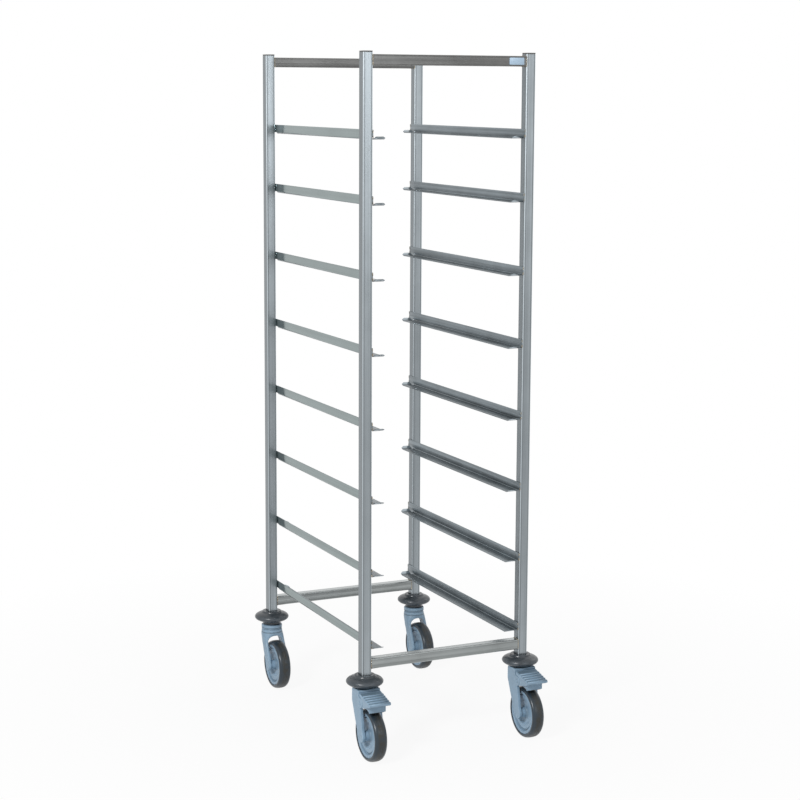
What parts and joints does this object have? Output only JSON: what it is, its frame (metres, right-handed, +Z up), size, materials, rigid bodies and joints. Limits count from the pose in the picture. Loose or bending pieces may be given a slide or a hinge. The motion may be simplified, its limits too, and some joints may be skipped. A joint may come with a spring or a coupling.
{
  "type": "sheet pan rack",
  "caption": "Tall open rack of square steel tube with bent sheet runners on both sides for sliding trays in, on bumpered swivel casters, the front ones braked.",
  "frame": {"origin": "on the floor, at the centre of the bounding box of the rack as it stands", "axes": "+X to the right seen from the front, +Y to the rear, +Z up"},
  "size_m": [0.5232, 0.782, 1.7086],
  "materials": {
    "steel": "brushed stainless tube",
    "runner_steel": "satin stainless sheet",
    "axle_steel": "turned steel",
    "bumper": "dark slate, soft sheen",
    "caster_plastic": "blue-grey moulded plastic",
    "tyre": "dark grey rubber",
    "bush": "moulded bearing plastic",
    "label": "plain pale blue plate"
  },
  "bodies": {
    "frame": {"upright_front_left": "steel", "cap_front_left": "steel", "upright_front_right": "steel", "cap_front_right": "steel", "upright_rear_left": "steel", "cap_rear_left": "steel", "upright_rear_right": "steel", "cap_rear_right": "steel", "crossbar_top_front": "steel", "crossbar_top_rear": "steel", "crossbar_bottom_front": "steel", "crossbar_bottom_rear": "steel", "runner_left_1": "runner_steel", "runner_left_2": "runner_steel", "runner_left_3": "runner_steel", "runner_left_4": "runner_steel", "runner_left_5": "runner_steel", "runner_left_6": "runner_steel", "runner_left_7": "runner_steel", "runner_left_8": "runner_steel", "runner_right_1": "runner_steel", "runner_right_2": "runner_steel", "runner_right_3": "runner_steel", "runner_right_4": "runner_steel", "runner_right_5": "runner_steel", "runner_right_6": "runner_steel", "runner_right_7": "runner_steel", "runner_right_8": "runner_steel", "label_plate": "label", "bumper_front_left": "bumper", "stem_front_left": "axle_steel", "bumper_front_right": "bumper", "stem_front_right": "axle_steel", "bumper_rear_left": "bumper", "stem_rear_left": "axle_steel", "bumper_rear_right": "bumper", "stem_rear_right": "axle_steel"},
    "caster_front_left": {"fork_front_left": "caster_plastic", "axle_front_left": "axle_steel"},
    "wheel_front_left": {"hub_front_left": "caster_plastic", "tyre_front_left": "tyre", "bush_front_left": "bush"},
    "pedal_front_left": {"pedal_front_left": "caster_plastic"},
    "caster_front_right": {"fork_front_right": "caster_plastic", "axle_front_right": "axle_steel"},
    "wheel_front_right": {"hub_front_right": "caster_plastic", "tyre_front_right": "tyre", "bush_front_right": "bush"},
    "pedal_front_right": {"pedal_front_right": "caster_plastic"},
    "caster_rear_left": {"fork_rear_left": "caster_plastic", "axle_rear_left": "axle_steel"},
    "wheel_rear_left": {"hub_rear_left": "caster_plastic", "tyre_rear_left": "tyre", "bush_rear_left": "bush"},
    "caster_rear_right": {"fork_rear_right": "caster_plastic", "axle_rear_right": "axle_steel"},
    "wheel_rear_right": {"hub_rear_right": "caster_plastic", "tyre_rear_right": "tyre", "bush_rear_right": "bush"}
  },
  "joints": [
    {"name": "swivel_front_left", "type": "hinge", "parent": "frame", "child": "caster_front_left", "pos_m": [-0.21555, -0.286, 0.169], "axis": [0, 0, 1], "continuous": true},
    {"name": "roll_front_left", "type": "hinge", "parent": "caster_front_left", "child": "wheel_front_left", "pos_m": [-0.21555, -0.326, 0.065], "axis": [1, 0, 0], "continuous": true},
    {"name": "brake_front_left", "type": "hinge", "parent": "caster_front_left", "child": "pedal_front_left", "pos_m": [-0.21555, -0.3225, 0.148], "axis": [1, 0, 0], "range_deg": [0, 11]},
    {"name": "swivel_front_right", "type": "hinge", "parent": "frame", "child": "caster_front_right", "pos_m": [0.21555, -0.286, 0.169], "axis": [0, 0, 1], "continuous": true},
    {"name": "roll_front_right", "type": "hinge", "parent": "caster_front_right", "child": "wheel_front_right", "pos_m": [0.21555, -0.326, 0.065], "axis": [1, 0, 0], "continuous": true},
    {"name": "brake_front_right", "type": "hinge", "parent": "caster_front_right", "child": "pedal_front_right", "pos_m": [0.21555, -0.3225, 0.148], "axis": [1, 0, 0], "range_deg": [0, 11]},
    {"name": "swivel_rear_left", "type": "hinge", "parent": "frame", "child": "caster_rear_left", "pos_m": [-0.21555, 0.345, 0.169], "axis": [0, 0, 1], "continuous": true},
    {"name": "roll_rear_left", "type": "hinge", "parent": "caster_rear_left", "child": "wheel_rear_left", "pos_m": [-0.21555, 0.305, 0.065], "axis": [1, 0, 0], "continuous": true},
    {"name": "swivel_rear_right", "type": "hinge", "parent": "frame", "child": "caster_rear_right", "pos_m": [0.21555, 0.345, 0.169], "axis": [0, 0, 1], "continuous": true},
    {"name": "roll_rear_right", "type": "hinge", "parent": "caster_rear_right", "child": "wheel_rear_right", "pos_m": [0.21555, 0.305, 0.065], "axis": [1, 0, 0], "continuous": true}
  ]
}
